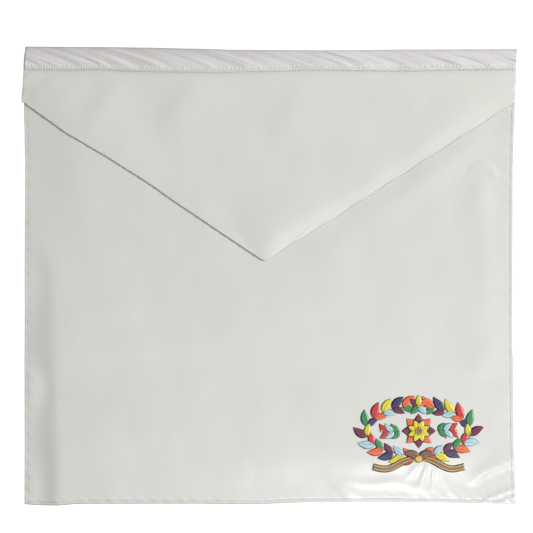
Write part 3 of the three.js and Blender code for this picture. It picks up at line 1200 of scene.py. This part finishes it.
def stretched_noise(tree, coordinates, detail, grain):
    """Noise whose grains have the given sizes along X, Y and Z."""
    mapping = add_node(tree, "ShaderNodeMapping", {"Scale": [1 / size for size in grain]})
    noise = add_node(tree, "ShaderNodeTexNoise", {"Scale": 1.0, "Detail": detail})
    tree.links.new(coordinates, mapping.inputs["Vector"])
    tree.links.new(mapping.outputs["Vector"], noise.inputs["Vector"])
    return noise.outputs["Fac"]


def blend_values(tree, a, b, factor):
    made = add_node(tree, "ShaderNodeMix", {"Factor": factor}, data_type="FLOAT")
    tree.links.new(a, made.inputs["A"])
    tree.links.new(b, made.inputs["B"])
    return made.outputs["Result"]


def woven_threads(tree, coordinates, pitch):
    """Threads that cross: bands along X and along Y, which wander a little."""
    bands = []
    for direction in "XY":
        values = {"Scale": BAND_PERIOD / pitch, **WEAVE_WANDER}
        wave = add_node(tree, "ShaderNodeTexWave", values, bands_direction=direction)
        tree.links.new(coordinates, wave.inputs["Vector"])
        bands.append(wave.outputs["Fac"])
    return blend_values(tree, *bands, 0.5)


def colour_ramp(tree, value, dark, light):
    made = add_node(tree, "ShaderNodeValToRGB")
    ends = made.color_ramp.elements
    for end, place, colour in zip(ends, (RAMP_START, RAMP_STOP), (dark, light)):
        end.position = place
        end.color = (*colour, 1)
    tree.links.new(value, made.inputs["Fac"])
    return made.outputs["Color"]


def add_bump(tree, height, strength, distance):
    bump = add_node(tree, "ShaderNodeBump", {"Strength": strength, "Distance": distance})
    tree.links.new(height, bump.inputs["Height"])
    return bump


def woven_material(name, dark, light, pitch, roughness, sheen, bump):
    """White cloth: a fine weave, faint upright streaks, soft changes of tone and painted shade read
    from its points.
    """
    material, tree, shader, coordinates = new_material(name)
    set_inputs(shader, {"Sheen Weight": sheen, **CLOTH_SHINE})
    tone = stretched_noise(tree, coordinates, **TONE)
    streaks = stretched_noise(tree, coordinates, **STREAKS)
    both = blend_values(tree, tone, streaks, STREAK_SHARE)
    # The base colour is multiplied by the painted shade stored on the cloth's points
    painted_shade_attribute = add_node(tree, "ShaderNodeAttribute", attribute_name="painted_shade")
    painted_shade_mix = add_node(tree, "ShaderNodeMix", {"Factor": 1}, data_type="RGBA", blend_type="MULTIPLY")
    tree.links.new(colour_ramp(tree, both, dark, light), painted_shade_mix.inputs["A"])
    tree.links.new(painted_shade_attribute.outputs["Fac"], painted_shade_mix.inputs["B"])
    tree.links.new(painted_shade_mix.outputs["Result"], shader.inputs["Base Color"])
    least, greatest = roughness - ROUGHNESS_SPREAD, roughness + ROUGHNESS_SPREAD
    rough = add_node(tree, "ShaderNodeMapRange", {"To Min": least, "To Max": greatest})
    tree.links.new(tone, rough.inputs["Value"])
    tree.links.new(rough.outputs["Result"], shader.inputs["Roughness"])
    creases = stretched_noise(tree, coordinates, **CREASES)
    soft = add_bump(tree, creases, CREASE_BUMP, CREASE_RELIEF)
    relief = add_bump(tree, woven_threads(tree, coordinates, pitch), bump, WEAVE_RELIEF)
    tree.links.new(soft.outputs["Normal"], relief.inputs["Normal"])
    tree.links.new(relief.outputs["Normal"], shader.inputs["Normal"])
    return material


def ink_material(name, colour):
    """Printed ink: slightly mottled, with the cloth's weave showing through."""
    material, tree, shader, coordinates = new_material("ink_" + name)
    set_inputs(shader, INK_SHINE)
    mottle = stretched_noise(tree, coordinates, **INK_MOTTLE)
    threads = woven_threads(tree, coordinates, WEAVE_PITCH)
    tone = blend_values(tree, mottle, threads, INK_WEAVE_SHARE)
    dark = tuple(INK_DARKER * c for c in colour)
    light = tuple(mix(c, INK_FADE["grey"], INK_FADE["share"]) for c in colour)
    tree.links.new(colour_ramp(tree, tone, dark, light), shader.inputs["Base Color"])
    relief = add_bump(tree, threads, INK_BUMP, WEAVE_RELIEF)
    tree.links.new(relief.outputs["Normal"], shader.inputs["Normal"])
    return material


def thread_material(name, colour):
    material, tree, shader, coordinates = new_material(name)
    set_inputs(shader, THREAD_SHINE)
    tone = stretched_noise(tree, coordinates, **THREAD_MOTTLE)
    dark = tuple(THREAD_DARKER * c for c in colour)
    tree.links.new(colour_ramp(tree, tone, dark, colour), shader.inputs["Base Color"])
    return material


def give(piece, material):
    piece.data.materials.append(material)
    return piece


# The floor: a pale square just below the apron, and how it shines
FLOOR_HALF = 8.0
FLOOR_LOW = -0.15 * MM
FLOOR_SHINE = {
    "Base Color": (0.35, 0.35, 0.35, 1),
    "Emission Color": (1, 1, 1, 1),
    "Emission Strength": 0.88,
    "Roughness": 1.0,
    "Specular IOR Level": 0.0,
}


def make_floor():
    mesh = bpy.data.meshes.new("floor")
    corners = [
        (FLOOR_HALF * x, FLOOR_HALF * y, FLOOR_LOW) for x, y in ((-1, -1), (1, -1), (1, 1), (-1, 1))
    ]
    mesh.from_pydata(corners, [], [(0, 1, 2, 3)])
    floor = bpy.data.objects.new("floor", mesh)
    bpy.context.collection.objects.link(floor)
    material = bpy.data.materials.new("floor")
    material.use_nodes = True
    set_inputs(material.node_tree.nodes["Principled BSDF"], FLOOR_SHINE)
    mesh.materials.append(material)


# The photograph's frame: its width in the apron's plane, and where its middle lies. The lens
# and the sensor are in millimetres.
FRAME_WIDTH = 442.6 * MM
FRAME_MIDDLE = (-2.5 * MM, 7.8 * MM)
LENS = 85
SENSOR = 36


def make_camera():
    data = bpy.data.cameras.new("camera")
    data.lens = LENS
    data.sensor_width = SENSOR
    camera = bpy.data.objects.new("camera", data)
    camera.location = (*FRAME_MIDDLE, FRAME_WIDTH * LENS / SENSOR + CLOTH_THICKNESS)
    bpy.context.collection.objects.link(camera)
    bpy.context.scene.camera = camera


# The lights: a strong low key from the right, which rakes the folds, and two weak ones for
# the glare below the print
LIGHTS = [
    dict(name="key", place=(3.6649, 0.3852, 1.7973), target=(0.05, 0, 0), size=1.2, power=253),
    dict(name="window", place=(0.32, -0.85, 1.4), target=(0.1, -0.15, 0), size=0.3, power=8.0),
    dict(name="glow", place=(0.12, -0.33, 1.5), target=(0.05, -0.13, 0), size=0.5, power=0.4),
]
LIGHT_COLOURS = dict(key=(1.0, 0.987, 0.97), window=(0.94, 0.98, 1.0), glow=(1, 1, 1))
SKY = {"Color": (1.0, 0.985, 0.98, 1), "Strength": 0.24}


def area_light(name, place, target, size, power):
    light = bpy.data.lights.new(name, "AREA")
    light.shape = "DISK"
    light.size = size
    light.energy = power
    light.color = LIGHT_COLOURS[name]
    lamp = bpy.data.objects.new(name, light)
    bpy.context.collection.objects.link(lamp)
    lamp.location = place
    lamp.rotation_euler = (Vector(target) - Vector(place)).to_track_quat("-Z", "Y").to_euler()


def light_scene():
    world = bpy.data.worlds.new("world")
    bpy.context.scene.world = world
    world.use_nodes = True
    set_inputs(world.node_tree.nodes["Background"], SKY)
    for light in LIGHTS:
        area_light(**light)
    bpy.context.scene.view_settings.view_transform = "Standard"


make_camera()
light_scene()
make_floor()

cloth = woven_material("cloth", CLOTH_DARK, CLOTH_LIGHT, **CLOTH_LOOK)
flap_cloth = woven_material("flap_cloth", FLAP_DARK, FLAP_LIGHT, **CLOTH_LOOK)
ribbon = woven_material("ribbon", RIBBON_DARK, RIBBON_LIGHT, **RIBBON_LOOK)
thread = thread_material("thread", THREAD_COLOUR)
tick_thread = thread_material("waistband_thread", TICK_COLOUR)
painted_hole_shade = thread_material("painted_hole_shade", PAINTED_HOLE_SHADE_COLOUR)

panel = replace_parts(give(make_panel(), cloth), "panel")
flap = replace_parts(give(make_flap(), flap_cloth), "flap")
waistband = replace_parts(give(make_waistband(), ribbon), "waistband")
panel_paths, flap_path = panel_seam_path(), flap_seam_path()
panel_stitches = make_seam("panel_stitches", panel_paths, panel_faces)
# Dark rods of painted shade in the needle holes between the seams' stitches
panel_hole_shades = make_painted_hole_shades("panel_painted_hole_shades", panel_paths, panel_faces)
flap_stitches = make_seam("flap_stitches", [flap_path], flap_faces)
# Painted shade in the needle holes along the flap's right edge only
right_edge = flap_path[len(flap_path) // 2:]
flap_hole_shades = make_painted_hole_shades("flap_painted_hole_shades", [right_edge], flap_faces)
waistband_stitches = give(make_waistband_stitches(), tick_thread)
emblem = make_print()
